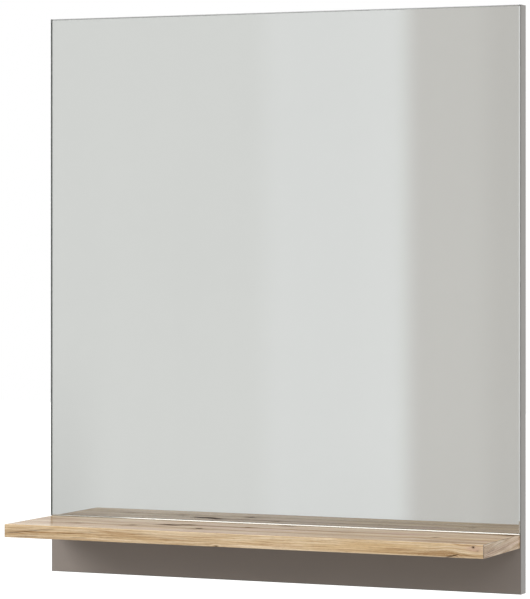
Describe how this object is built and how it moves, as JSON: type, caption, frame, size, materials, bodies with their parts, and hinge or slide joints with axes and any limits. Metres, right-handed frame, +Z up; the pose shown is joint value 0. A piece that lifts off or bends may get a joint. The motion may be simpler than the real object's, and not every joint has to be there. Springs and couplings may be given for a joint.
{
  "type": "mirror with shelf",
  "caption": "Wall-hung rectangular mirror on a grey board, with a full-width oak-look shelf at its foot, a bare skirt below and keyhole hangers on the back.",
  "frame": {"origin": "centre of the back face of the board", "axes": "front looks toward -Y and the wall lies toward +Y; +Z up; +X to the right of someone who looks at the mirror"},
  "size_m": [0.78, 0.1865, 0.87],
  "materials": {
    "grey_board": "taupe-grey melamine on chipboard, satin, fine print grain",
    "grey_edge": "matching grey plastic edge band, satin",
    "mirror": "clear silvered float glass with ground and polished edges",
    "foam_tape": "white double-sided foam tape",
    "oak_board": "light knotty oak look, long grain, satin",
    "oak_edge": "light oak edge band, long grain, satin",
    "zinc_screw": "zinc-plated steel",
    "beech": "fluted beech dowel, raw",
    "zinc_sheet": "pressed zinc-plated steel sheet",
    "rubber": "black rubber, matt"
  },
  "bodies": {
    "root": {"back_panel": "grey_board", "panel_band_top": "grey_edge", "panel_band_bottom": "grey_edge", "panel_band_left": "grey_edge", "panel_band_right": "grey_edge", "mirror_glass": "mirror", "mirror_tape_1": "foam_tape", "mirror_tape_2": "foam_tape", "mirror_tape_3": "foam_tape", "mirror_tape_4": "foam_tape", "mirror_tape_5": "foam_tape", "shelf_board": "oak_board", "shelf_band_front": "oak_edge", "shelf_band_left": "oak_edge", "shelf_band_right": "oak_edge", "shelf_screw_1": "zinc_screw", "shelf_screw_2": "zinc_screw", "shelf_screw_3": "zinc_screw", "shelf_screw_4": "zinc_screw", "shelf_dowel_1": "beech", "shelf_dowel_2": "beech", "shelf_dowel_3": "beech", "shelf_dowel_4": "beech", "hanger_plate_left": "zinc_sheet", "hanger_plate_right": "zinc_sheet", "hanger_screw_left_1": "zinc_screw", "hanger_screw_left_2": "zinc_screw", "hanger_screw_right_1": "zinc_screw", "hanger_screw_right_2": "zinc_screw", "wall_bumper_left": "rubber", "wall_bumper_right": "rubber"}
  },
  "joints": []
}
